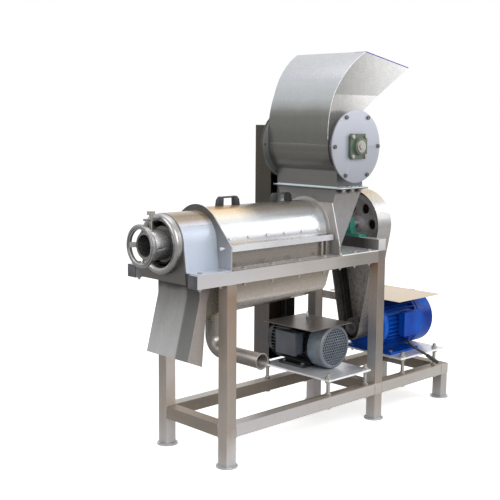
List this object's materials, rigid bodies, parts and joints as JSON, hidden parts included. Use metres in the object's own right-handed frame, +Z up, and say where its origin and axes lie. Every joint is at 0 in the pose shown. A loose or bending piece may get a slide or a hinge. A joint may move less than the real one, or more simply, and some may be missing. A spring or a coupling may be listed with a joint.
{
  "type": "industrial cold press juicer",
  "caption": "Industrial cold press juicer: a screw press with a lift-off barrel cover and a crusher with a tall hopper on a stainless tube frame, with two belt drives.",
  "frame": {"origin": "on the floor at the centre of the four outer feet", "axes": "+X along the barrel to the drive end, +Z up, -Y to the operator"},
  "size_m": [1.733, 0.608, 1.6357],
  "materials": {
    "frame_steel": "satin",
    "sheet_steel": "satin",
    "blue_sheet": "satin",
    "polished": "polished",
    "dark_plastic": "matte",
    "press_blue": "semi-gloss",
    "crusher_grey": "semi-gloss",
    "bearing_green": "semi-gloss",
    "bearing_grey": "matte",
    "cast_pulley": "matte",
    "belt_rubber": "matte",
    "bronze": "satin",
    "bolt_steel": "satin"
  },
  "bodies": {
    "root": {"leg_posts": "frame_steel", "lower_rails": "frame_steel", "top_rails": "frame_steel", "rail_end_caps": "dark_plastic", "foot_plates": "frame_steel", "bearing_beam": "frame_steel", "deck_plate": "sheet_steel", "frame_bolts": "bolt_steel", "plate_studs": "bolt_steel", "end_plate": "sheet_steel", "discharge_ring": "polished", "discharge_housing": "blue_sheet", "housing_cover": "sheet_steel", "pomace_chute": "sheet_steel", "arch_plate": "sheet_steel", "rear_plate": "sheet_steel", "lower_casing": "sheet_steel", "juice_screen": "sheet_steel", "juice_trough": "sheet_steel", "outlet_pipe": "polished", "press_bearing": "bearing_green", "press_belts": "belt_rubber", "press_guard": "sheet_steel", "press_motor_body": "press_blue", "press_motor_cowl": "press_blue", "press_motor_box": "press_blue", "press_motor_plate": "sheet_steel", "press_motor_cover": "sheet_steel", "power_lead": "belt_rubber", "lead_sleeve": "belt_rubber", "feed_chute": "sheet_steel", "crusher_housing": "sheet_steel", "hopper": "sheet_steel", "crusher_covers": "sheet_steel", "crusher_bearings": "bearing_grey", "crusher_belts": "belt_rubber", "crusher_guard": "sheet_steel", "crusher_motor_body": "crusher_grey", "crusher_motor_cowl": "crusher_grey", "crusher_motor_box": "crusher_grey", "crusher_motor_plate": "sheet_steel", "crusher_motor_cover": "sheet_steel"},
    "press_screw": {"press_shaft": "sheet_steel", "press_flight": "sheet_steel", "press_pulley": "cast_pulley"},
    "press_rotor": {"press_motor_rotor": "bolt_steel", "press_motor_pulley": "cast_pulley"},
    "crusher_drum": {"crusher_rotor": "bolt_steel", "crusher_pulley": "cast_pulley"},
    "crusher_motor_drive": {"crusher_motor_rotor": "bolt_steel", "crusher_motor_pulley": "cast_pulley"},
    "cone_carriage": {"pressure_sleeve": "polished", "pressure_cone": "polished"},
    "wheel": {"handwheel": "polished"},
    "lock_slide": {"lock_pad": "bronze"},
    "lock_spindle": {"lock_screw": "polished"},
    "cover": {"barrel_cover": "sheet_steel", "cover_handles": "dark_plastic", "cover_bolts": "bolt_steel"}
  },
  "joints": [
    {"name": "screw_turn", "type": "hinge", "parent": "root", "child": "press_screw", "pos_m": [0, 0, 0.87], "axis": [1, 0, 0], "continuous": true},
    {"name": "press_motor_turn", "type": "hinge", "parent": "root", "child": "press_rotor", "pos_m": [0.285, 0, 0.382], "axis": [1, 0, 0], "continuous": true},
    {"name": "crusher_turn", "type": "hinge", "parent": "root", "child": "crusher_drum", "pos_m": [0.026, 0, 1.232], "axis": [0, 1, 0], "continuous": true},
    {"name": "crusher_motor_turn", "type": "hinge", "parent": "root", "child": "crusher_motor_drive", "pos_m": [0.026, 0.285, 0.34], "axis": [0, 1, 0], "continuous": true},
    {"name": "cone_slide", "type": "slide", "parent": "root", "child": "cone_carriage", "axis": [1, 0, 0], "range_m": [-0.012, 0.012]},
    {"name": "wheel_turn", "type": "hinge", "parent": "cone_carriage", "child": "wheel", "pos_m": [-0.97, 0, 0.87], "axis": [1, 0, 0], "range_deg": [-540, 540]},
    {"name": "lock_lift", "type": "slide", "parent": "root", "child": "lock_slide", "axis": [0, 0, 1], "range_m": [0, 0.004]},
    {"name": "lock_turn", "type": "hinge", "parent": "lock_slide", "child": "lock_spindle", "pos_m": [-0.927, 0, 0.97], "axis": [0, 0, 1], "range_deg": [0, 720]},
    {"name": "cover_lift", "type": "slide", "parent": "root", "child": "cover", "axis": [0, 0, 1], "range_m": [0, 0.15]}
  ],
  "couplings": [
    {"joint": "press_motor_turn", "follows": "screw_turn", "ratio": 3.1111},
    {"joint": "crusher_motor_turn", "follows": "crusher_turn", "ratio": 0.83333},
    {"joint": "cone_slide", "follows": "wheel_turn", "m_per_rad": 0.0012732},
    {"joint": "lock_turn", "follows": "lock_lift", "rad_per_m": 3141.6}
  ]
}
